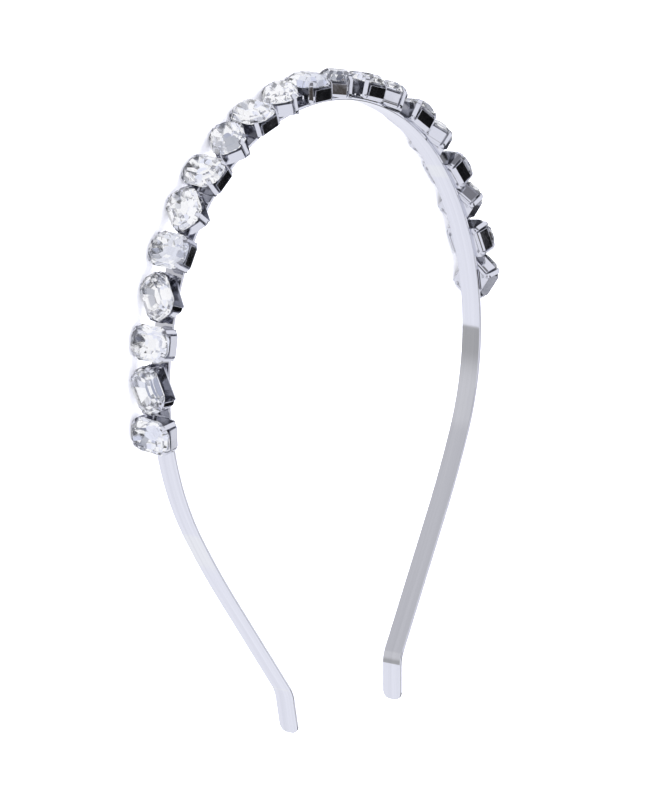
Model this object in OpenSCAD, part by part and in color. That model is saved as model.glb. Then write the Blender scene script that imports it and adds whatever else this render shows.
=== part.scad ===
// Headband: a flat sprung metal strip that carries a row of claw-set crystals, lying on its side.
// X runs across the head opening, Y points to the crown and Z runs up through the strip's width.
// Places along the strip are measured from the crown, negative on the left arm.

/* [Strip] */
// Width of the flat strip
strip_w = 5.8; // [5:0.1:6.5]
// Thickness of the strip
strip_t = 0.8; // [0.7:0.05:1]
// Radius of the arc over the crown, at the middle of the thickness
crown_r = 54.2; // [52:0.1:58]
// Turn of that arc on each side of the crown, in degrees
crown_turn = 58.1; // [56:0.1:60]
// Radius of the arc beside the head
side_r = 70.5; // [68:0.1:76]
// Turn of the side arc, in degrees
side_turn = 58.9; // [56:0.1:60]
// Radius of the slight curve behind the ear
ear_r = 235; // [200:1:300]
// Turn of that curve, in degrees
ear_turn = 5.2; // [4:0.1:6]
// Straight length of the left arm down to its bent tip
left_leg = 31.5; // [28:0.1:40]
// Straight length of the right arm down to its bent tip
right_leg = 34.3; // [28:0.1:40]

/* [Tips] */
// Radius of the outward bend at each tip
tip_r = 8; // [6:0.5:12]
// Turn of the outward bend, in degrees
tip_turn = 26.5; // [20:0.5:32]
// Straight length beyond the bend
tip_len = 8.8; // [6:0.1:10]
// Radius of the tip's rounded corners
tip_corner = 2.1; // [1:0.1:2.4]

/* [Crystals] */
// Length of a crystal at its girdle
stone_l = 11.6; // [11:0.1:11.6]
// Width of a crystal at its girdle
stone_w = 8.6; // [8:0.1:8.6]
// Corner cut of the girdle outline, along each side
stone_cut = 2.5; // [2.3:0.1:2.6]
// Height of the girdle above the strip's outer face
girdle_h = 3.9; // [3.7:0.05:4.2]
// Thickness of the girdle
girdle_t = 0.3; // [0.2:0.05:0.5]
// Height of the crown, from the girdle to the table
crown_h = 2; // [1.7:0.1:2.2]
// Depth of the pavilion below the girdle
pavilion_h = 2.9; // [2.6:0.1:2.9]

/* [Settings] */
// Length of a setting over its base, outside the bends
base_l = 10.9; // [10.5:0.1:10.9]
// Width of the base plate
base_w = 7.6; // [7.4:0.1:7.9]
// Thickness of the setting's sheet metal
sheet_t = 0.4; // [0.35:0.05:0.45]
// Outer radius of the bends in the sheet
bend_r = 1.2; // [0.8:0.1:1.4]
// Width of the plate that closes each short end
end_w = 4.9; // [4.4:0.1:4.9]
// Width of a claw
claw_w = 1.15; // [1.05:0.05:1.25]
// Length of a claw's hook over the crystal
hook_l = 1; // [0.8:0.05:1.1]
// Play between the crystal and its claws
play = 0.05; // [0.04:0.01:0.08]

/* [Row] */
// Place of the first crystal, on the left arm
first_place = -97.9; // [-99:0.1:-97.5]
// Spacing of the crystals low on the left arm
low_pitch = 10.6; // [10.3:0.05:10.8]
// Spacing of the crystals higher on the left arm
left_pitch = 9.9; // [9.9:0.05:10.2]
// Spacing of the crystals over the crown
crown_pitch = 9.5; // [9.5:0.05:9.6]
// Spacing of the crystals on the right arm
right_pitch = 9.75; // [9.7:0.05:9.8]

/* [Hidden] */
$fn = 96;
overlap = 0.12; // how far one soldered piece runs into the next
lap = 0.2; // how far one arc of the strip runs into the next
bend_steps = 4;
end_gap = 0.6; // from the top of an end plate to the girdle
lean_gap = 0.1; // by which an end plate stays inside the girdle's outline
low_gaps = 4;
left_gaps = 3;
crown_gaps = 6;
right_gaps = 6;
crown_start = low_gaps + left_gaps;
crown_stop = crown_start + crown_gaps;
stones = crown_stop + right_gaps + 1;

// Turn of each crystal's long axis from straight across the strip, first to last
turns = [5, 63, 0, 55, 3, 46, 5, 45, 8, 46, 8, 46, 8, 46, 8, 46, 6, 47, 8, 50];

// Rings of a cut crystal: inset from the girdle outline and height over the girdle's lower edge
table_ring = [2.1, girdle_t + crown_h];
break_ring = [0.9, girdle_t + 0.6 * crown_h];
girdle_top = [0, girdle_t];
girdle_low = [0, 0];
belly_ring = [1.4, -0.43 * pavilion_h];
keel_ring = [3.5, -pavilion_h];
cut_rings = [keel_ring, belly_ring, girdle_low, girdle_top, break_ring, table_ring];

// Turn of the strip at the end of each arc, and the arcs' centres on the right arm
side_end = crown_turn + side_turn;
leg_turn = side_end + ear_turn;
bent_turn = leg_turn - tip_turn;
crown_c = [0, -crown_r];
side_c = crown_c + (crown_r - side_r) * outward(crown_turn);
ear_c = side_c + (side_r - ear_r) * outward(side_end);
crown_len = crown_r * crown_turn * PI / 180;

// A claw's inner face, measured out from the crystal's centre square to its cut corner
claw_in = (stone_l / 2 + stone_w / 2 - stone_cut) / sqrt(2) + play;
corner_shift = (stone_l - stone_w) / 4;

// Corners of a set crystal that can stand lowest when it is turned
claw_edge = [claw_in + sheet_t - claw_w / 2, claw_in + sheet_t + claw_w / 2] / sqrt(2);
low_corners = [
    [stone_w / 2 - stone_cut, stone_l / 2],
    [stone_w / 2, stone_l / 2 - stone_cut],
    claw_edge + corner_shift * [-1, 1]
];

// Overall box, which puts the origin under the middle of the lying headband
top_y = strip_t / 2 + girdle_h + girdle_t + crown_h;
foot_y = min(tip_end(left_leg)[1], tip_end(right_leg)[1]) + strip_t / 2 * cos(bent_turn);
low_z = -max([for (t = turns, c = low_corners) c[1] * cos(t) + c[0] * sin(t)]);
middle = [0, (top_y + foot_y) / 2, low_z];

function stone_name(i) = str("crystal_", i < 10 ? "0" : "", i);

function outward(turn) = [sin(turn), cos(turn)];

function along(turn) = [cos(turn), -sin(turn)];

function leg_start() = ear_c + ear_r * outward(leg_turn);

function tip_c(leg) = leg_start() + leg * along(leg_turn) + tip_r * outward(leg_turn);

function tip_start(leg) = tip_c(leg) - tip_r * outward(bent_turn);

function tip_end(leg) = tip_start(leg) + tip_len * along(bent_turn);

function gap_after(i) =
    i <= low_gaps ? low_pitch
    : i <= crown_start ? left_pitch
    : i <= crown_stop ? crown_pitch
    : right_pitch;

function place(i) = i == 1 ? first_place : place(i - 1) + gap_after(i - 1);

function turn_at(s) =
    abs(s) <= crown_len
        ? s / crown_r * 180 / PI
        : sign(s) * (crown_turn + (abs(s) - crown_len) / side_r * 180 / PI);

function point_at(s) =
    abs(s) <= crown_len
        ? crown_c + crown_r * outward(turn_at(s))
        : [sign(s) * (side_c[0] + side_r * sin(abs(turn_at(s)))), side_c[1] + side_r * cos(turn_at(s))];

// Eight corners of the crystal's outline, moved in by one inset on every side
function outline(inset, h) =
    let (
        l = stone_l / 2 - inset,
        w = stone_w / 2 - inset,
        cut = stone_cut - (2 - sqrt(2)) * inset
    )
    [
        [w, l - cut, h], [w - cut, l, h], [cut - w, l, h], [-w, l - cut, h],
        [-w, cut - l, h], [cut - w, -l, h], [w - cut, -l, h], [w, cut - l, h]
    ];

// Puts its children on the strip: X along it, Y across it and Z out from its outer face
module on_band(s) {
    translate([point_at(s)[0], point_at(s)[1], 0])
        rotate([0, 0, -turn_at(s)])
            rotate([-90, 0, 0])
                translate([0, 0, strip_t / 2])
                    children();
}

// Stretch of the strip's edge line that runs round a centre
module line_arc(centre, r, from, to) {
    more = lap / r * 180 / PI;
    mid = (from + to) / 2;
    translate(centre)
        intersection() {
            difference() {
                circle(r + strip_t / 2, $fn = 240);
                circle(r - strip_t / 2, $fn = 240);
            }
            polygon([[0, 0], 2 * r * outward(from - more), 2 * r * outward(mid), 2 * r * outward(to + more)]);
        }
}

// Straight stretch of the edge line, from a point and along a turn
module line_flat(start, turn, len) {
    translate(start)
        rotate(-turn)
            translate([0, -strip_t / 2])
                square([len, strip_t]);
}

module arm_line(leg) {
    line_arc(side_c, side_r, crown_turn, side_end);
    line_arc(ear_c, ear_r, side_end, leg_turn);
    line_flat(leg_start(), leg_turn, leg);
    line_arc(tip_c(leg), tip_r, 180 + bent_turn, 180 + leg_turn);
    line_flat(tip_start(leg), bent_turn, tip_len);
}

// What is cut away at the two corners of a tip to round them
module tip_cut(leg) {
    far = tip_corner + 1;
    translate([tip_end(leg)[0], tip_end(leg)[1], 0])
        rotate([0, 0, -bent_turn])
            rotate([90, 0, 0])
                for (side = [0, 1])
                    mirror([0, side, 0])
                        translate([-tip_corner, strip_w / 2 - tip_corner, 0])
                            linear_extrude(2 * strip_t, center = true)
                                difference() {
                                    square(far);
                                    circle(tip_corner);
                                }
}

module strip() {
    difference() {
        linear_extrude(strip_w, center = true) {
            line_arc(crown_c, crown_r, -crown_turn, crown_turn);
            arm_line(right_leg);
            mirror([1, 0])
                arm_line(left_leg);
        }
        tip_cut(right_leg);
        mirror([1, 0, 0])
            tip_cut(left_leg);
    }
}

// Quarter bend of the sheet that ends at a distance out, on its outer or its inner face
function bend(out, t) =
    [for (i = [0 : bend_steps])
        [out - bend_r + (bend_r - t) * sin(90 * i / bend_steps),
         bend_r - overlap - (bend_r - t) * cos(90 * i / bend_steps)]];

function backwards(list) = [for (i = [len(list) - 1 : -1 : 0]) list[i]];

// Plate that closes a short end up to just below the girdle
module end_plate() {
    top = girdle_h - end_gap;
    lean = (stone_l - base_l) / 2 - lean_gap;
    rotate([90, 0, 90])
        linear_extrude(end_w, center = true)
            polygon(concat(
                bend(base_l / 2, 0),
                [[base_l / 2 + lean, top], [base_l / 2 + lean - sheet_t, top]],
                backwards(bend(base_l / 2, sheet_t))
            ));
}

// Claw that stands at a cut corner and hooks over the crystal
module claw() {
    top = girdle_h + girdle_t;
    slope = atan2(break_ring[1] - girdle_t, break_ring[0]);
    hook = [claw_in - hook_l * cos(slope), top + hook_l * sin(slope)];
    skin = sheet_t * [sin(slope), cos(slope)];
    rotate([90, 0, 0])
        linear_extrude(claw_w, center = true)
            polygon(concat(
                bend(claw_in + sheet_t, 0),
                [[claw_in + sheet_t, top], hook + skin, hook, [claw_in, top]],
                backwards(bend(claw_in + sheet_t, sheet_t))
            ));
}

module setting() {
    base_y = base_l / 2 - bend_r;
    translate([-base_w / 2, -base_y, -overlap])
        cube([base_w, 2 * base_y, sheet_t]);
    for (end = [0, 1])
        mirror([0, end, 0]) {
            end_plate();
            for (side = [0, 1])
                mirror([side, 0, 0])
                    translate([-corner_shift, corner_shift, 0])
                        rotate([0, 0, 45])
                            claw();
        }
}

module band() {
    color("gainsboro")
        translate(-middle) {
            strip();
            for (i = [1 : stones])
                on_band(place(i))
                    rotate([0, 0, -turns[i - 1]])
                        setting();
        }
}

module crystal(i) {
    points = [for (ring = cut_rings) each outline(ring[0], ring[1])];
    last = 8 * (len(cut_rings) - 1);
    color("aliceblue")
        translate(-middle)
            on_band(place(i))
                rotate([0, 0, -turns[i - 1]])
                    translate([0, 0, girdle_h])
                        polyhedron(points, concat(
                            [[for (k = [0 : 7]) k], [for (k = [7 : -1 : 0]) last + k]],
                            [for (ring = [0 : 8 : last - 8], k = [0 : 7])
                                [ring + k, ring + 8 + k, ring + 8 + (k + 1) % 8, ring + (k + 1) % 8]]
                        ));
}

band();
for (i = [1 : stones])
    crystal(i);
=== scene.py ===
import math
import random

import bmesh
import bpy
from mathutils import Matrix, Vector


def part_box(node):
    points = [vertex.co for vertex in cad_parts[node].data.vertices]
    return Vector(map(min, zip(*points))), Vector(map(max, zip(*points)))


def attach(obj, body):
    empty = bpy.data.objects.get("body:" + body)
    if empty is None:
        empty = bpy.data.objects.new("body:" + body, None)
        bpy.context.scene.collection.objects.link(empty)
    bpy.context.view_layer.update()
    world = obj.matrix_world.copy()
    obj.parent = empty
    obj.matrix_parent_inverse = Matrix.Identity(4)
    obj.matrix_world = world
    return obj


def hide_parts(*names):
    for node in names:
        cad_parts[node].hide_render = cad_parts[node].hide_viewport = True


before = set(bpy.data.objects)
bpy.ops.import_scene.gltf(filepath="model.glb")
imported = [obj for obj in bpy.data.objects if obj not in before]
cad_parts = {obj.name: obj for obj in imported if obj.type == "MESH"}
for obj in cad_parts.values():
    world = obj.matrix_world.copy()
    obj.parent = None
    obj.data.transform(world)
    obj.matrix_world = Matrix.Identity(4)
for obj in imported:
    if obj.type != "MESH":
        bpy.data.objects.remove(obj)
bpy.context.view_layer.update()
mm = 0.001  # sizes below are in millimetres and places in the CAD frame

# Curve of the strip, from the crown out to a tip, with its radii in millimetres and its turns in degrees
strip = {
    "width": 5.8,
    "thickness": 0.8,
    "crownRadius": 54.2,
    "crownTurn": 58.1,
    "sideRadius": 70.5,
    "sideTurn": 58.9,
    "earRadius": 235.0,
    "earTurn": 5.2,
    "leftLeg": 31.5,
    "rightLeg": 34.3,
    "tipRadius": 8.0,
    "tipTurn": 26.5,
    "tipLength": 8.8,
    "tipCorner": 2.1,
    "tipSteps": 8,
    "edgeRound": 0.24,
    "edgeSteps": 5,
    "cornerAngle": 50,  # edges that turn more than this are rounded
    "smoothAngle": 40,
    "stepTurn": 1.5,  # each step along a bend turns by about this or is about this long
    "stepLength": 3.0,
    "weld": 0.001,
}

# Places of the settings along the strip, measured from the crown, and how far each is turned
row = {
    "first": -97.9,
    "gaps": [(4, 10.6), (3, 9.9), (6, 9.5), (6, 9.75)],
    "turns": [5, 63, 0, 55, 3, 46, 5, 45, 8, 46, 8, 46, 8, 46, 8, 46, 6, 47, 8, 50],
}

crystal = {
    "length": 11.6,
    "width": 8.6,
    "cut": 2.5,
    "seat": 3.9,  # height of the girdle's lower edge over the strip's outer face
    "girdle": 0.3,
    "tableHeight": 2.3,  # over the girdle's lower edge
    "keelDepth": 2.9,
    "cornerSoftness": 0.3,  # cut off each corner of the outline
    # Rows of facets: slope from the girdle's plane, inset and height where it starts, and its sides
    "crownRows": [
        {"slope": 53.1, "inset": 0.0, "height": 0.3, "sides": "all"},
        {"slope": 33.7, "inset": 0.9, "height": 1.5, "sides": "main"},
    ],
    "backRows": [
        {"slope": 41.8, "inset": 0.0, "height": 0.0, "sides": "all"},
        {"slope": 38.2, "inset": 1.5, "height": -1.1, "sides": "between"},
    ],
    "cutSlack": 0.0005,
    "weld": 0.01,
    "lacquerGap": 0.05,  # how far the coat lies below the foil
    "lacquerCoat": 0.02,
    # seeds that pick each crystal's painted reflection tones on the foil
    "paintedReflectionSeeds": [14, 24, 31, 22, 38, 36, 49, 68, 58, 59, 70, 78, 98, 102, 87, 110, 117, 110, 125, 128],
}


def outward(turn):
    return Vector((math.sin(math.radians(turn)), math.cos(math.radians(turn)), 0))


def along(turn):
    return Vector((math.cos(math.radians(turn)), -math.sin(math.radians(turn)), 0))


crownLength = strip["crownRadius"] * math.radians(strip["crownTurn"])
sideEnd = strip["crownTurn"] + strip["sideTurn"]
legTurn = sideEnd + strip["earTurn"]
bentTurn = legTurn - strip["tipTurn"]
crownCentre = Vector((0, -strip["crownRadius"], 0))
sideCentre = crownCentre + (strip["crownRadius"] - strip["sideRadius"]) * outward(strip["crownTurn"])
earCentre = sideCentre + (strip["sideRadius"] - strip["earRadius"]) * outward(sideEnd)


def legEnd(leg):
    return earCentre + strip["earRadius"] * outward(legTurn) + leg * along(legTurn)


def tipEnd(leg):
    bend = strip["tipRadius"] * (outward(legTurn) - outward(bentTurn))
    return legEnd(leg) + bend + strip["tipLength"] * along(bentTurn)


# The tables of the crystals at the crown and the longer arm's tip are equally far from the origin
crownTop = strip["thickness"] / 2 + crystal["seat"] + crystal["tableHeight"]
tipBottom = tipEnd(strip["rightLeg"]).y + strip["thickness"] / 2 * math.cos(math.radians(bentTurn))
bandLow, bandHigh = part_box("band")
bandMiddle = (bandLow.z + bandHigh.z) / 2 / mm
toFrame = Matrix.Translation((0, -(crownTop + tipBottom) / 2, bandMiddle))


def turnAt(place):
    if abs(place) <= crownLength:
        return math.degrees(place / strip["crownRadius"])
    past = math.degrees((abs(place) - crownLength) / strip["sideRadius"])
    return math.copysign(strip["crownTurn"] + past, place)


def pointAt(place):
    turn = turnAt(place)
    if abs(place) <= crownLength:
        return crownCentre + strip["crownRadius"] * outward(turn)
    point = sideCentre + strip["sideRadius"] * outward(abs(turn))
    point.x = math.copysign(point.x, place)
    return point


def rowPlaces():
    places = [row["first"]]
    for count, gap in row["gaps"]:
        for step in range(count):
            places.append(places[-1] + gap)
    return places


# Matrix that puts a setting on the strip: X along it, Y across it and Z out from its outer face
def seatMatrix(place, turn):
    return (
        toFrame
        @ Matrix.Translation(pointAt(place))
        @ Matrix.Rotation(math.radians(-turnAt(place)), 4, "Z")
        @ Matrix.Rotation(math.radians(-90), 4, "X")
        @ Matrix.Translation((0, 0, strip["thickness"] / 2))
        @ Matrix.Rotation(math.radians(-turn), 4, "Z")
    )


def colour(hexCode):
    parts = [int(hexCode[i:i + 2], 16) / 255 for i in (1, 3, 5)]
    linear = [p / 12.92 if p <= 0.04045 else ((p + 0.055) / 1.055) ** 2.4 for p in parts]
    return (*linear, 1)


def newMaterial(name):
    material = bpy.data.materials.new(name)
    material.use_nodes = True
    tree = material.node_tree
    return material, tree, tree.nodes["Principled BSDF"]


def addNode(tree, kind, settings=None, values=None, links=None):
    node = tree.nodes.new(kind)
    for name, value in (settings or {}).items():
        setattr(node, name, value)
    for name, value in (values or {}).items():
        node.inputs[name].default_value = value
    for name, source in (links or {}).items():
        tree.links.new(source, node.inputs[name])
    return node


# Sizes in millimetres of the marks in the finishes, each as coarse as it needs to be to show
marks = {
    "streakLength": 125.0,
    "streakWidth": 1.923,
    "smear": 6.25,
    "wave": 4.545,
    "dent": 2.381,
    "glassFlow": 11.11,
    "spray": 1.111,
    "paperTooth": 1.4286,
}


# Scale of a pattern whose marks have this size
def scaleFor(size):
    return 1 / (size * mm)


# Rhodium-plated spring steel, rolled and then barrel polished: a cool mirror with faint streaks along it
def platedSteel():
    material, tree, shader = newMaterial("rhodium plated spring steel")
    shader.inputs["Metallic"].default_value = 1
    place = addNode(tree, "ShaderNodeTexCoord")
    lengthwise = scaleFor(marks["streakLength"])
    stretch = addNode(
        tree, "ShaderNodeVectorMath",
        settings={"operation": "MULTIPLY"},
        values={1: (lengthwise, lengthwise, scaleFor(marks["streakWidth"]))},
        links={0: place.outputs["Object"]},
    )
    streak = addNode(
        tree, "ShaderNodeTexNoise",
        values={"Scale": 1, "Detail": 3, "Roughness": 0.55},
        links={"Vector": stretch.outputs["Vector"]},
    )
    spread = addNode(
        tree, "ShaderNodeMapRange",
        values={"From Min": 0.3, "From Max": 0.7},
        links={"Value": streak.outputs["Fac"]},
    )
    tone = addNode(
        tree, "ShaderNodeMix",
        settings={"data_type": "RGBA"},
        values={"A": colour("#E0E1E7"), "B": colour("#EDEEF3")},
        links={"Factor": spread.outputs["Result"]},
    )
    tree.links.new(tone.outputs["Result"], shader.inputs["Base Color"])
    smear = addNode(
        tree, "ShaderNodeTexNoise",
        values={"Scale": scaleFor(marks["smear"]), "Detail": 3, "Roughness": 0.6},
        links={"Vector": place.outputs["Object"]},
    )
    polish = addNode(
        tree, "ShaderNodeMapRange",
        values={"From Min": 0.35, "From Max": 0.7, "To Min": 0.035, "To Max": 0.075},
        links={"Value": smear.outputs["Fac"]},
    )
    tree.links.new(polish.outputs["Result"], shader.inputs["Roughness"])
    wave = addNode(
        tree, "ShaderNodeTexNoise",
        values={"Scale": scaleFor(marks["wave"]), "Detail": 1},
        links={"Vector": place.outputs["Object"]},
    )
    bump = addNode(
        tree, "ShaderNodeBump",
        values={"Strength": 0.06, "Distance": 0.1 * mm},
        links={"Height": wave.outputs["Fac"]},
    )
    tree.links.new(bump.outputs["Normal"], shader.inputs["Normal"])
    return material


# Rhodium-plated stamped brass: the same mirror, less flat where the sheet was pressed
def platedBrass():
    material, tree, shader = newMaterial("rhodium plated stamped brass")
    shader.inputs["Base Color"].default_value = colour("#DFE0E6")
    shader.inputs["Metallic"].default_value = 1
    place = addNode(tree, "ShaderNodeTexCoord")
    dent = addNode(
        tree, "ShaderNodeTexNoise",
        values={"Scale": scaleFor(marks["dent"]), "Detail": 2},
        links={"Vector": place.outputs["Object"]},
    )
    polish = addNode(
        tree, "ShaderNodeMapRange",
        values={"From Min": 0.3, "From Max": 0.75, "To Min": 0.05, "To Max": 0.12},
        links={"Value": dent.outputs["Fac"]},
    )
    tree.links.new(polish.outputs["Result"], shader.inputs["Roughness"])
    bump = addNode(
        tree, "ShaderNodeBump",
        values={"Strength": 0.12, "Distance": 0.1 * mm},
        links={"Height": dent.outputs["Fac"]},
    )
    tree.links.new(bump.outputs["Normal"], shader.inputs["Normal"])
    return material


# Leaded crystal glass, machine cut and polished: clear, with bright hard facets
def leadCrystal():
    material, tree, shader = newMaterial("cut lead crystal")
    shader.inputs["IOR"].default_value = 1.56
    shader.inputs["Transmission Weight"].default_value = 1
    place = addNode(tree, "ShaderNodeTexCoord")
    flow = addNode(
        tree, "ShaderNodeTexNoise",
        values={"Scale": scaleFor(marks["glassFlow"]), "Detail": 1},
        links={"Vector": place.outputs["Object"]},
    )
    tone = addNode(
        tree, "ShaderNodeMix",
        settings={"data_type": "RGBA"},
        values={"A": colour("#F8FAFF"), "B": colour("#FFFEFF")},
        links={"Factor": flow.outputs["Fac"]},
    )
    tree.links.new(tone.outputs["Result"], shader.inputs["Base Color"])
    wear = addNode(
        tree, "ShaderNodeMapRange",
        values={"From Min": 0.4, "From Max": 0.7, "To Min": 0.0, "To Max": 0.02},
        links={"Value": flow.outputs["Fac"]},
    )
    tree.links.new(wear.outputs["Result"], shader.inputs["Roughness"])
    return material


# Vacuum-laid silver foil on the back facets: a soft mirror seen through the glass, its colour set facet by
# facet to painted reflection tones, darker or tinted on some facets
def silverFoil():
    material, tree, shader = newMaterial("silver foil")
    shader.inputs["Metallic"].default_value = 1
    shader.inputs["Roughness"].default_value = 0.09
    # the foil's colour is a painted reflection tone, one per facet
    paintedTone = addNode(tree, "ShaderNodeAttribute", settings={"attribute_name": "foilPaintedReflection"})
    tree.links.new(paintedTone.outputs["Color"], shader.inputs["Base Color"])
    return material


# Smoke-grey lacquer over the foil: the metal gleams through it, darker where the coat is thick
def backLacquer():
    material, tree, shader = newMaterial("smoke grey back lacquer")
    place = addNode(tree, "ShaderNodeTexCoord")
    spray = addNode(
        tree, "ShaderNodeTexNoise",
        values={"Scale": scaleFor(marks["spray"]), "Detail": 3},
        links={"Vector": place.outputs["Object"]},
    )
    shade = addNode(
        tree, "ShaderNodeMix",
        settings={"data_type": "RGBA"},
        values={"A": colour("#8A8B90"), "B": colour("#B2B3B9")},
        links={"Factor": spray.outputs["Fac"]},
    )
    tree.links.new(shade.outputs["Result"], shader.inputs["Base Color"])
    shader.inputs["Metallic"].default_value = 0.9
    shader.inputs["Roughness"].default_value = 0.16
    return material


steel = platedSteel()
brass = platedBrass()
glass = leadCrystal()
foil = silverFoil()
lacquer = backLacquer()
print("materials made")


# Picks the parts of one kind out of what a bmesh operator returns
def only(kind, geometry):
    return [part for part in geometry if isinstance(part, kind)]


# Adds one bmesh to another and frees it
def addTo(whole, part):
    carrier = bpy.data.meshes.new("carrier")
    part.to_mesh(carrier)
    part.free()
    whole.from_mesh(carrier)
    bpy.data.meshes.remove(carrier)


# Turns a bmesh in millimetres into an object in the frame, smooth up to an angle if one is given
def finishPiece(bm, name, materials, smoothAngle=None):
    bmesh.ops.scale(bm, vec=(mm, mm, mm), verts=bm.verts)
    if smoothAngle is not None:
        limit = math.radians(smoothAngle)
        for face in bm.faces:
            face.smooth = True
        for edge in bm.edges:
            edge.smooth = len(edge.link_faces) == 2 and edge.calc_face_angle(0) < limit
    mesh = bpy.data.meshes.new(name)
    bm.to_mesh(mesh)
    bm.free()
    for material in materials:
        mesh.materials.append(material)
    piece = bpy.data.objects.new(name, mesh)
    bpy.context.scene.collection.objects.link(piece)
    if smoothAngle is not None:
        even = piece.modifiers.new("flat faces stay flat", "WEIGHTED_NORMAL")
        even.keep_sharp = True
    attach(piece, "root")
    return piece


# Sweeps the last cross-section round a bend and returns the new last one
def sweepRound(bm, section, centre, turn, radius):
    byTurn = round(abs(turn) / strip["stepTurn"])
    byLength = round(abs(math.radians(turn)) * radius / strip["stepLength"])
    steps = max(2, byTurn, byLength)
    swept = bmesh.ops.spin(
        bm, geom=section, cent=centre, axis=(0, 0, 1), angle=math.radians(turn), steps=steps
    )
    return swept["geom_last"]


def sweepStraight(bm, section, move):
    swept = bmesh.ops.extrude_edge_only(bm, edges=only(bmesh.types.BMEdge, section))["geom"]
    lastVerts = only(bmesh.types.BMVert, swept)
    bmesh.ops.translate(bm, vec=move, verts=lastVerts)
    return [e for e in bm.edges if set(e.verts) <= set(lastVerts)] + lastVerts


# Sweeps the strip's cross-section from the crown out to one tip
def armMesh(leg):
    bm = bmesh.new()
    halfT = strip["thickness"] / 2
    halfW = strip["width"] / 2
    outline = ((-halfT, -halfW), (halfT, -halfW), (halfT, halfW), (-halfT, halfW))
    corners = [bm.verts.new((0, y, z)) for y, z in outline]
    section = corners + [bm.edges.new((corners[i], corners[(i + 1) % 4])) for i in range(4)]
    section = sweepRound(bm, section, crownCentre, -strip["crownTurn"], strip["crownRadius"])
    section = sweepRound(bm, section, sideCentre, -strip["sideTurn"], strip["sideRadius"])
    section = sweepRound(bm, section, earCentre, -strip["earTurn"], strip["earRadius"])
    section = sweepStraight(bm, section, leg * along(legTurn))
    tipCentre = legEnd(leg) + strip["tipRadius"] * outward(legTurn)
    section = sweepRound(bm, section, tipCentre, strip["tipTurn"], strip["tipRadius"])
    section = sweepStraight(bm, section, strip["tipLength"] * along(bentTurn))
    bmesh.ops.edgeloop_fill(bm, edges=only(bmesh.types.BMEdge, section))
    bmesh.ops.recalc_face_normals(bm, faces=bm.faces)
    return bm


def cornersOf(bm, angle):
    bm.normal_update()
    return [e for e in bm.edges if e.calc_face_angle(0) > math.radians(angle)]


def roundEdges(bm, edges, offset, steps):
    bmesh.ops.bevel(bm, geom=edges, offset=offset, segments=steps, profile=0.5, affect="EDGES", material=-1)


def makeStrip():
    whole = bmesh.new()
    for side, leg in ((1, strip["rightLeg"]), (-1, strip["leftLeg"])):
        arm = armMesh(leg)
        if side < 0:
            bmesh.ops.scale(arm, vec=(-1, 1, 1), verts=arm.verts)
            bmesh.ops.reverse_faces(arm, faces=arm.faces)
        addTo(whole, arm)
    bmesh.ops.remove_doubles(whole, verts=whole.verts, dist=strip["weld"])
    bmesh.ops.recalc_face_normals(whole, faces=whole.faces)
    # The four corners of the tips, seen flat, are the only sharp edges as long as the strip is thick
    square = cornersOf(whole, strip["cornerAngle"])
    tipCorners = [e for e in square if math.isclose(e.calc_length(), strip["thickness"], abs_tol=0.01)]
    roundEdges(whole, tipCorners, strip["tipCorner"], strip["tipSteps"])
    roundEdges(whole, cornersOf(whole, strip["cornerAngle"]), strip["edgeRound"], strip["edgeSteps"])
    whole.transform(toFrame)
    piece = finishPiece(whole, "strip", [steel], strip["smoothAngle"])
    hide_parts("band")


makeStrip()
print("strip made")

setting = {
    "length": 10.9,
    "width": 7.6,
    "sheet": 0.4,
    "bend": 1.2,
    "bendSteps": 6,
    "sink": 0.12,  # by which the base runs into the solder on the strip
    "endWidth": 4.9,
    "endGap": 0.6,
    "endShy": 0.1,  # by which an end plate's top stays inside the crystal's end
    "endRoot": 0.4,  # flat stretch of an end plate and of a claw that lies in the base
    "clawRoot": 0.8,
    "clawWidth": 1.1,
    "hook": 1.0,
    "hookSteps": 4,
    "play": 0.05,
    "edgeRound": 0.07,
    "edgeSteps": 2,
    "cornerAngle": 60,
    "smoothAngle": 35,
}


# Draws a bent ribbon of sheet along a path in the YZ plane, outer face first, then thickens it inward
def ribbon(path, width):
    bm = bmesh.new()
    edge = bm.edges.new([bm.verts.new((x, *path[0])) for x in (-width / 2, width / 2)])
    faces = []
    for before, after in zip(path, path[1:]):
        made = bmesh.ops.extrude_edge_only(bm, edges=[edge])["geom"]
        verts = only(bmesh.types.BMVert, made)
        bmesh.ops.translate(bm, vec=(0, after[0] - before[0], after[1] - before[1]), verts=verts)
        edge = next(e for e in bm.edges if set(e.verts) == set(verts))
        faces += only(bmesh.types.BMFace, made)
    bmesh.ops.recalc_face_normals(bm, faces=faces)
    bm.normal_update()
    if sum(f.normal.y for f in faces) < 0:
        bmesh.ops.reverse_faces(bm, faces=faces)
    bmesh.ops.solidify(bm, geom=faces, thickness=setting["sheet"])
    return bm


# Path of the sheet from inside the base to the top of its bend, with its outer face this far out
def bendPath(out, root):
    radius = setting["bend"]
    low = -setting["sink"]
    path = [(out - radius - root, low)]
    for step in range(setting["bendSteps"] + 1):
        turn = math.radians(90 * step / setting["bendSteps"])
        path.append((out - radius + radius * math.sin(turn), low + radius - radius * math.cos(turn)))
    return path


def endPlatePath():
    out = setting["length"] / 2
    top = crystal["length"] / 2 - setting["endShy"]
    return bendPath(out, setting["endRoot"]) + [(top, crystal["seat"] - setting["endGap"])]


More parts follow.
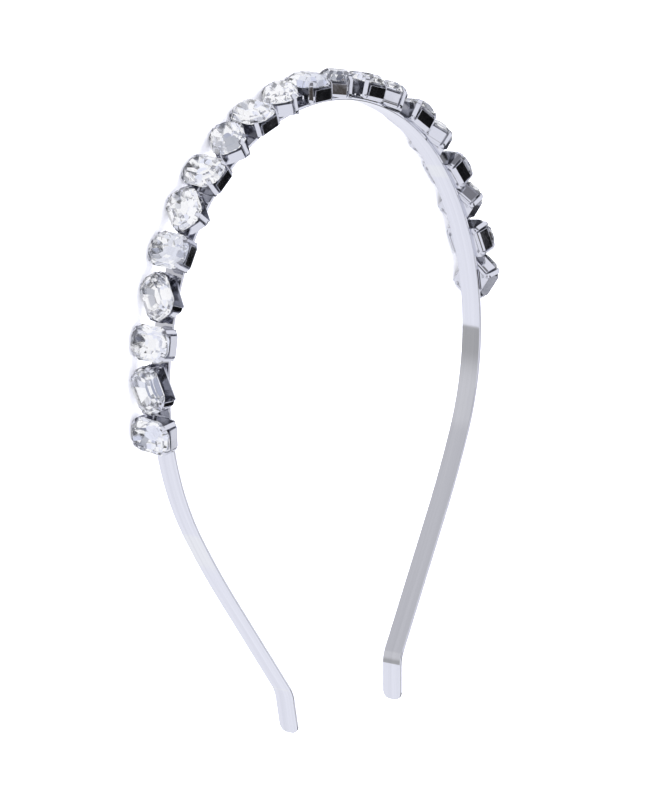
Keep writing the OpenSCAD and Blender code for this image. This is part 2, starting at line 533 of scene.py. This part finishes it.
# Rises past the girdle, rolls over its upper edge and lies on the crown facet
def clawPath():
    sheet = setting["sheet"]
    corner = (crystal["length"] + crystal["width"]) / 2 - crystal["cut"]
    inside = corner / math.sqrt(2) + setting["play"]
    girdleTop = crystal["seat"] + crystal["girdle"]
    slope = math.radians(crystal["crownRows"][0]["slope"])
    path = bendPath(inside + sheet, setting["clawRoot"])
    for step in range(setting["hookSteps"] + 1):
        roll = (math.pi / 2 - slope) * step / setting["hookSteps"]
        path.append((inside + sheet * math.cos(roll), girdleTop + sheet * math.sin(roll)))
    lastY, lastZ = path[-1]
    path.append((lastY - setting["hook"] * math.cos(slope), lastZ + setting["hook"] * math.sin(slope)))
    return path


def settingMesh():
    bm = bmesh.new()
    base = bmesh.ops.create_cube(bm, size=1)["verts"]
    baseLength = setting["length"] - 2 * setting["bend"]
    bmesh.ops.scale(bm, vec=(setting["width"], baseLength, setting["sheet"]), verts=base)
    bmesh.ops.translate(bm, vec=(0, 0, setting["sheet"] / 2 - setting["sink"]), verts=base)
    parts = [(endPlatePath(), setting["endWidth"], Matrix.Identity(4))]
    shift = (crystal["length"] - crystal["width"]) / 4
    for side in (1, -1):
        corner = Matrix.Translation((side * shift, shift, 0))
        diagonal = Matrix.Rotation(math.radians(45 * side), 4, "Z")
        parts.append((clawPath(), setting["clawWidth"], corner @ diagonal))
    for path, width, place in parts:
        for flip in (0, 180):
            part = ribbon(path, width)
            part.transform(Matrix.Rotation(math.radians(flip), 4, "Z") @ place)
            addTo(bm, part)
    roundEdges(bm, cornersOf(bm, setting["cornerAngle"]), setting["edgeRound"], setting["edgeSteps"])
    mesh = bpy.data.meshes.new("setting")
    bm.to_mesh(mesh)
    bm.free()
    return mesh


def makeSettings():
    pattern = settingMesh()
    for number, (place, turn) in enumerate(zip(rowPlaces(), row["turns"]), 1):
        bm = bmesh.new()
        bm.from_mesh(pattern)
        bm.transform(seatMatrix(place, turn))
        piece = finishPiece(bm, f"setting_{number:02d}", [brass], setting["smoothAngle"])
        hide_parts("band")
    bpy.data.meshes.remove(pattern)


makeSettings()
print("settings made")

# Painted reflections: tones painted on single facets of the foil, darker, pinkish or bluish in place of dark
# or coloured surroundings that the mirror would reflect, with how many of a hundred facets have each
paintedFoilReflections = {
    "#FFFFFF": 80,
    "#E6E8F0": 11,
    "#B9BCC4": 4,
    "#7C7E86": 3,
    "#DCC6C3": 1,
    "#7A8296": 1,
}
glassSlot, foilSlot, lacquerSlot = range(3)  # order of a crystal's materials


# Slices off what lies beyond a plane and closes the slice with one flat facet
def cutFacet(bm, point, normal):
    everything = bm.verts[:] + bm.edges[:] + bm.faces[:]
    bmesh.ops.bisect_plane(
        bm, geom=everything, dist=crystal["cutSlack"], plane_co=point, plane_no=normal, clear_outer=True
    )
    rim = [e for e in bm.edges if e.is_boundary]
    if rim:
        bmesh.ops.edgeloop_fill(bm, edges=rim)


def outlineCorners():
    halfL = crystal["length"] / 2
    halfW = crystal["width"] / 2
    cut = crystal["cut"]
    quarter = [(halfW, halfL - cut), (halfW - cut, halfL)]
    corners = quarter + [(-x, y) for x, y in reversed(quarter)]
    return corners + [(-x, -y) for x, y in corners]


# Turn of a side of the outline in degrees: the eight long sides are main, the softened corners lie between
def sideTurn(side):
    return math.degrees(math.atan2(side.y, side.x))


def sideKind(side):
    turn = sideTurn(side)
    return "main" if abs(turn - 45 * round(turn / 45)) < 1 else "between"


# Extrudes the outline to the crystal's full depth, then cuts its facets row by row
def crystalMesh():
    bm = bmesh.new()
    deep = -crystal["keelDepth"]
    rise = crystal["tableHeight"] - deep
    outline = bm.faces.new([bm.verts.new((x, y, deep)) for x, y in outlineCorners()])
    raised = bmesh.ops.extrude_face_region(bm, geom=[outline])["geom"]
    bmesh.ops.translate(bm, vec=(0, 0, rise), verts=only(bmesh.types.BMVert, raised))
    bmesh.ops.recalc_face_normals(bm, faces=bm.faces)
    posts = [e for e in bm.edges if abs(e.verts[0].co.z - e.verts[1].co.z) > rise / 2]
    roundEdges(bm, posts, crystal["cornerSoftness"], 1)
    bm.normal_update()
    sides = [f.normal.copy() for f in bm.faces if abs(f.normal.z) < 0.1]
    sides.sort(key=sideTurn)
    for sign, rows in ((1, crystal["crownRows"]), (-1, crystal["backRows"])):
        for facets in rows:
            slope = math.radians(facets["slope"])
            for side in sides:
                if facets["sides"] not in ("all", sideKind(side)):
                    continue
                reach = max(v.co.dot(side) for v in bm.verts)
                point = side * (reach - facets["inset"]) + Vector((0, 0, facets["height"]))
                cutFacet(bm, point, side * math.sin(slope) + Vector((0, 0, sign * math.cos(slope))))
    for face in bm.faces:
        if face.calc_center_median().z < -crystal["weld"]:
            face.material_index = foilSlot
    bmesh.ops.remove_doubles(bm, verts=bm.verts, dist=crystal["weld"])
    bm.normal_update()
    return bm


# Sorts the facets by where they lie, so that every run paints the same reflection tones on them
def facetPlace(face):
    centre = face.calc_center_median()
    return (round(centre.z, 2), round(centre.x, 2), round(centre.y, 2))


# Paints a reflection tone on each foil facet: painted reflections carried in the foil's colour
def paintFoilReflections(bm, seed):
    codes = [colour(code) for code, share in paintedFoilReflections.items() for i in range(share)]
    paintedTone = bm.loops.layers.float_color.new("foilPaintedReflection")
    pick = random.Random(seed)
    for face in sorted(bm.faces, key=facetPlace):
        shade = pick.choice(codes)
        for loop in face.loops:
            loop[paintedTone] = shade


# Copies the foiled facets a little below themselves as a thin closed coat
def sprayLacquer(bm):
    foiled = [f for f in bm.faces if f.material_index == foilSlot]
    copied = bmesh.ops.duplicate(bm, geom=foiled)["geom"]
    coat = only(bmesh.types.BMFace, copied)
    for face in coat:
        face.material_index = lacquerSlot
    bmesh.ops.translate(bm, vec=(0, 0, -crystal["lacquerGap"]), verts=only(bmesh.types.BMVert, copied))
    bmesh.ops.solidify(bm, geom=coat, thickness=crystal["lacquerCoat"])


def makeCrystals():
    pattern = bpy.data.meshes.new("crystal")
    cut = crystalMesh()
    cut.to_mesh(pattern)
    cut.free()
    places = zip(rowPlaces(), row["turns"], crystal["paintedReflectionSeeds"])
    for number, (place, turn, seed) in enumerate(places, 1):
        bm = bmesh.new()
        bm.from_mesh(pattern)
        paintFoilReflections(bm, seed)
        sprayLacquer(bm)
        bmesh.ops.translate(bm, vec=(0, 0, crystal["seat"]), verts=bm.verts)
        bm.transform(seatMatrix(place, turn))
        name = f"crystal_{number:02d}"
        piece = finishPiece(bm, "cut_" + name, [glass, foil, lacquer])
        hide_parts(name)
    bpy.data.meshes.remove(pattern)


makeCrystals()
print("crystals made")

# The view of the photograph, as angles about the lying headband
view = {
    "azimuth": -111.16,
    "elevation": 40.1,
    "roll": 100.05,
    "distance": 2.691,  # metres
    "focal": 11214.6,  # pixels
    "target": (0, 9.86, 5.99),
    "targetPixel": (319.1, 361.4),
    "picture": (645, 807),
    "sensor": 36,
    "clip": (0.1, 20),  # metres
}


def makeCamera():
    azimuth = math.radians(view["azimuth"])
    elevation = math.radians(view["elevation"])
    back = Vector((
        math.sin(azimuth) * math.cos(elevation),
        -math.cos(azimuth) * math.cos(elevation),
        math.sin(elevation),
    ))
    level = Vector((math.cos(azimuth), math.sin(azimuth), 0))
    right = Matrix.Rotation(math.radians(view["roll"]), 3, back) @ level
    up = back.cross(right)
    location = Vector(view["target"]) * mm + back * view["distance"]
    # Turns the camera until the target falls on its own pixel instead of the middle
    offX, offY = [size / 2 - at for size, at in zip(view["picture"], view["targetPixel"])]
    back = (back * view["focal"] - right * offX + up * offY).normalized()
    right = (right - right.dot(back) * back).normalized()
    up = back.cross(right)
    camera = bpy.data.objects.new("camera", bpy.data.cameras.new("camera"))
    bpy.context.scene.collection.objects.link(camera)
    axes = Matrix((right, up, back)).transposed().to_4x4()
    camera.matrix_world = Matrix.Translation(location) @ axes
    camera.data.sensor_width = view["sensor"]
    camera.data.lens = view["focal"] / max(view["picture"]) * view["sensor"]
    camera.data.clip_start, camera.data.clip_end = view["clip"]
    bpy.context.scene.camera = camera


makeCamera()
print("camera placed")

studio = {
    "floorSize": 12.0,  # metres
    "floor": "#FCFCFE",
    "lightStrength": 3.6,
    "glitterBounces": 8,  # light turns round several times between the foil facets of a crystal
    "walls": "#F6F7FF",
    "backdrop": "#FFFFFF",
    # What stands round the table and shows in the metal: direction, half angle and soft rim in degrees
    "metalCards": [
        {"toward": (-0.68, 0.36, -0.64), "spread": 28.0, "soft": 1.0, "colour": "#B2B2B3"},
        {"toward": (-0.71, 0.27, -0.64), "spread": 4.0, "soft": 12.0, "colour": "#D6D6D9"},
        {"toward": (-0.575, 0.505, -0.645), "spread": 5.0, "soft": 6.0, "colour": "#CBCBCF"},
        {"toward": (0.66, -0.66, 0.36), "spread": 20.5, "soft": 1.5, "colour": "#09090B"},
        {"toward": (0.42, -0.33, 0.85), "spread": 16.2, "soft": 0.8, "colour": "#101012"},
        {"toward": (-0.73, -0.30, 0.61), "spread": 11.0, "soft": 3.0, "colour": "#4A4541"},
        {"toward": (0.93, -0.15, -0.30), "spread": 10.0, "soft": 14.0, "colour": "#7C7C82"},
        {"toward": (-0.85, 0.45, 0.22), "spread": 12.0, "soft": 3.0, "colour": "#2A2A2C"},
        {"toward": (-0.68, 0.16, 0.71), "spread": 9.0, "soft": 2.0, "colour": "#98989C"},
        {"toward": (0.85, -0.32, 0.42), "spread": 4.0, "soft": 0.8, "colour": "#ECEDF4"},
        {"toward": (-0.155, -0.75, -0.644), "spread": 2.0, "soft": 0.8, "colour": "#FBFCFF"},
        {"toward": (0.0, 0.94, 0.34), "spread": 21.0, "soft": 3.0, "colour": "#85858B"},
        {"toward": (0.50, -0.20, -0.84), "spread": 15.0, "soft": 2.0, "colour": "#2C2C30"},
    ],
    # Patches of dark between the lamps, that the crystals pick up
    "patchScale": 1.6,
    "patchLooks": [
        (0.0, "#FFFFFF"),
        (0.66, "#E6E9F6"),
        (0.80, "#C4C6CE"),
        (0.88, "#FFFFFF"),
        (0.92, "#77787E"),
        (0.96, "#A0968E"),
        (0.98, "#5A6480"),
    ],
}


# Matt white paper sweep, out of sight of reflections so that these show the studio
def makeFloor():
    material, tree, shader = newMaterial("white paper sweep")
    shader.inputs["Base Color"].default_value = colour(studio["floor"])
    place = addNode(tree, "ShaderNodeTexCoord")
    grain = addNode(
        tree, "ShaderNodeTexNoise",
        values={"Scale": scaleFor(marks["paperTooth"]), "Detail": 4},
        links={"Vector": place.outputs["Object"]},
    )
    tooth = addNode(
        tree, "ShaderNodeMapRange",
        values={"To Min": 0.8, "To Max": 1.0},
        links={"Value": grain.outputs["Fac"]},
    )
    tree.links.new(tooth.outputs["Result"], shader.inputs["Roughness"])
    bump = addNode(
        tree, "ShaderNodeBump",
        values={"Strength": 0.05, "Distance": 0.05 * mm},
        links={"Height": grain.outputs["Fac"]},
    )
    tree.links.new(bump.outputs["Normal"], shader.inputs["Normal"])
    bm = bmesh.new()
    bmesh.ops.create_grid(bm, x_segments=1, y_segments=1, size=studio["floorSize"] / 2)
    mesh = bpy.data.meshes.new("floor")
    bm.to_mesh(mesh)
    bm.free()
    mesh.materials.append(material)
    floor = bpy.data.objects.new("floor", mesh)
    bpy.context.scene.collection.objects.link(floor)
    floor.visible_glossy = False
    floor.visible_transmission = False


# Lays one card over what the studio shows so far
def addCard(tree, direction, behind, card):
    facing = addNode(
        tree, "ShaderNodeVectorMath",
        settings={"operation": "DOT_PRODUCT"},
        values={1: Vector(card["toward"]).normalized()},
        links={0: direction},
    )
    edge = addNode(
        tree, "ShaderNodeMapRange",
        settings={"interpolation_type": "SMOOTHSTEP"},
        values={
            "From Min": math.cos(math.radians(card["spread"] + card["soft"])),
            "From Max": math.cos(math.radians(card["spread"])),
        },
        links={"Value": facing.outputs["Value"]},
    )
    shown = addNode(
        tree, "ShaderNodeMix",
        settings={"data_type": "RGBA"},
        values={"B": colour(card["colour"])},
        links={"Factor": edge.outputs["Result"], "A": behind},
    )
    return shown.outputs["Result"]


# What shines through the crystals: cells of even tone all round
def lampPatches(tree, direction):
    patches = addNode(
        tree, "ShaderNodeTexVoronoi",
        values={"Scale": studio["patchScale"]},
        links={"Vector": direction},
    )
    toneOf = addNode(tree, "ShaderNodeSeparateColor", links={"Color": patches.outputs["Color"]})
    ramp = addNode(tree, "ShaderNodeValToRGB", links={"Fac": toneOf.outputs["Red"]})
    stops = ramp.color_ramp.elements
    ramp.color_ramp.interpolation = "CONSTANT"
    for position, code in studio["patchLooks"]:
        stop = stops[0] if position == 0 else stops.new(position)
        stop.color = colour(code)
    stops.remove(stops[-1])  # the white stop at the end that a new ramp starts with
    return ramp.outputs["Color"]


# A white studio that shows its cards to the metal, its patches to the crystals and plain white to the camera
def makeWorld():
    bpy.context.scene.view_settings.view_transform = "Standard"
    bpy.context.scene.cycles.glossy_bounces = studio["glitterBounces"]
    world = bpy.data.worlds.new("studio")
    world.use_nodes = True
    bpy.context.scene.world = world
    tree = world.node_tree
    direction = addNode(tree, "ShaderNodeTexCoord").outputs["Generated"]
    walls = addNode(tree, "ShaderNodeRGB")
    walls.outputs["Color"].default_value = colour(studio["walls"])
    inMetal = walls.outputs["Color"]
    for card in studio["metalCards"]:
        inMetal = addCard(tree, direction, inMetal, card)
    rays = addNode(tree, "ShaderNodeLightPath")
    shown = addNode(
        tree, "ShaderNodeMix",
        settings={"data_type": "RGBA"},
        links={"Factor": rays.outputs["Is Glossy Ray"], "A": walls.outputs["Color"], "B": inMetal},
    )
    shown = addNode(
        tree, "ShaderNodeMix",
        settings={"data_type": "RGBA"},
        links={
            "Factor": rays.outputs["Is Transmission Ray"],
            "A": shown.outputs["Result"],
            "B": lampPatches(tree, direction),
        },
    )
    shown = addNode(
        tree, "ShaderNodeMix",
        settings={"data_type": "RGBA"},
        values={"B": colour(studio["backdrop"])},
        links={"Factor": rays.outputs["Is Camera Ray"], "A": shown.outputs["Result"]},
    )
    strength = addNode(
        tree, "ShaderNodeMapRange",
        values={"To Min": 1.0, "To Max": studio["lightStrength"]},
        links={"Value": rays.outputs["Is Diffuse Ray"]},
    )
    background = tree.nodes["Background"]
    tree.links.new(shown.outputs["Result"], background.inputs["Color"])
    tree.links.new(strength.outputs["Result"], background.inputs["Strength"])


makeFloor()
makeWorld()
print("studio made")
